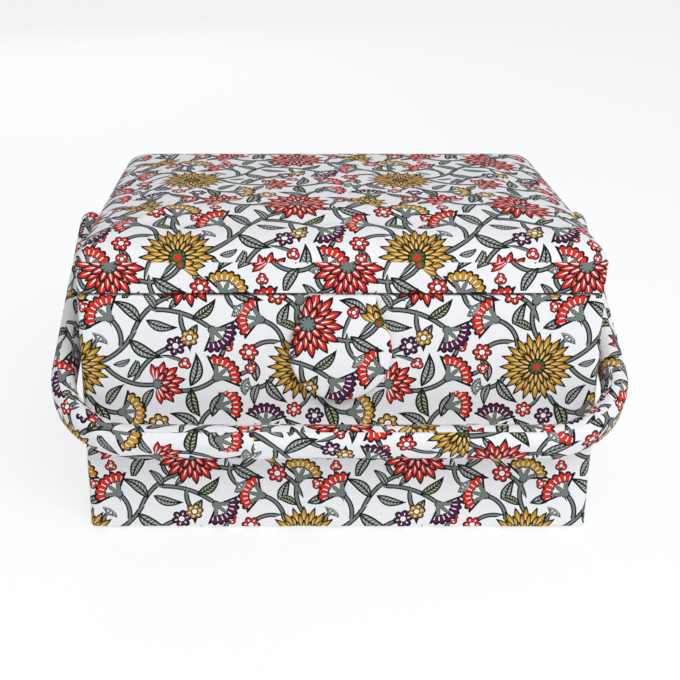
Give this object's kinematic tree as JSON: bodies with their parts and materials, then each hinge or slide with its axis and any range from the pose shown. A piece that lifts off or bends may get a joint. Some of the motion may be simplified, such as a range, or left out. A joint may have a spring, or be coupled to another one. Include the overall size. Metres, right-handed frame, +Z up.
{
  "type": "sewing box",
  "caption": "Fabric-covered rectangular sewing box with a padded hinged lid, magnetic tab, padded bail handle and sliding inner trays.",
  "frame": {"origin": "middle of the flat underside of the base", "axes": "+Z up, front faces -Y, +X to the right of someone looking at the front"},
  "size_m": [0.34, 0.2778, 0.185],
  "materials": {
    "printed_cotton": "white cotton with a traditional trailing floral print in red, mustard, grey-green and plum",
    "lining_cotton": "plain cream cotton",
    "board": "raw hardboard",
    "base_card": "pale grey card",
    "rail_wood": "planed beech",
    "foam": "open-cell foam",
    "tray_plastic": "moulded, lightly textured",
    "hinge_brass": "lacquered",
    "plated_steel": "nickel plated",
    "black_nylon": "moulded",
    "magnet": "sintered ferrite"
  },
  "bodies": {
    "box": {"base_sheet": "base_card", "base_board": "board", "front_board": "board", "back_board": "board", "left_board": "board", "right_board": "board", "body_cover": "printed_cotton", "wall_lining": "lining_cotton", "floor_lining": "lining_cotton", "upper_rail_left": "rail_wood", "upper_rail_right": "rail_wood", "lower_rail_left": "rail_wood", "lower_rail_right": "rail_wood", "catch_plate": "plated_steel", "hinge_box_leaves": "hinge_brass", "hinge_pins": "hinge_brass", "hinge_box_screws": "hinge_brass", "pivot_bolts": "plated_steel", "pivot_spacers": "black_nylon", "pivot_washers": "plated_steel", "pivot_nuts": "plated_steel"},
    "lid": {"lid_board": "board", "lid_front_strip": "board", "lid_back_strip": "board", "lid_left_strip": "board", "lid_right_strip": "board", "lid_band_cover": "printed_cotton", "lid_foam": "foam", "lid_pad_cover": "printed_cotton", "lid_lining": "lining_cotton", "hinge_lid_leaves": "hinge_brass", "hinge_lid_screws": "hinge_brass", "tab_tongue": "printed_cotton"},
    "tab": {"tab_board": "base_card", "tab_cover": "printed_cotton", "tab_magnet": "magnet"},
    "handle": {"handle_core": "plated_steel", "handle_padding": "foam", "handle_cover": "printed_cotton"},
    "upper_tray": {"upper_tray": "tray_plastic"},
    "lower_tray": {"lower_tray": "tray_plastic"}
  },
  "joints": [
    {"name": "lid_hinge", "type": "hinge", "parent": "box", "child": "lid", "pos_m": [0, 0.118, 0.15075], "axis": [-1, 0, 0], "range_deg": [0, 105]},
    {"name": "tab_hinge", "type": "hinge", "parent": "lid", "child": "tab", "pos_m": [0, -0.1174, 0.1495], "axis": [-1, 0, 0], "range_deg": [0, 110]},
    {"name": "handle_swing", "type": "hinge", "parent": "box", "child": "handle", "pos_m": [0, 0, 0.14], "axis": [-1, 0, 0], "range_deg": [0, 231]},
    {"name": "upper_tray_slide", "type": "slide", "parent": "box", "child": "upper_tray", "axis": [0, -1, 0], "range_m": [0, 0.1104]},
    {"name": "lower_tray_slide", "type": "slide", "parent": "box", "child": "lower_tray", "axis": [0, 1, 0], "range_m": [0, 0.1104]}
  ]
}
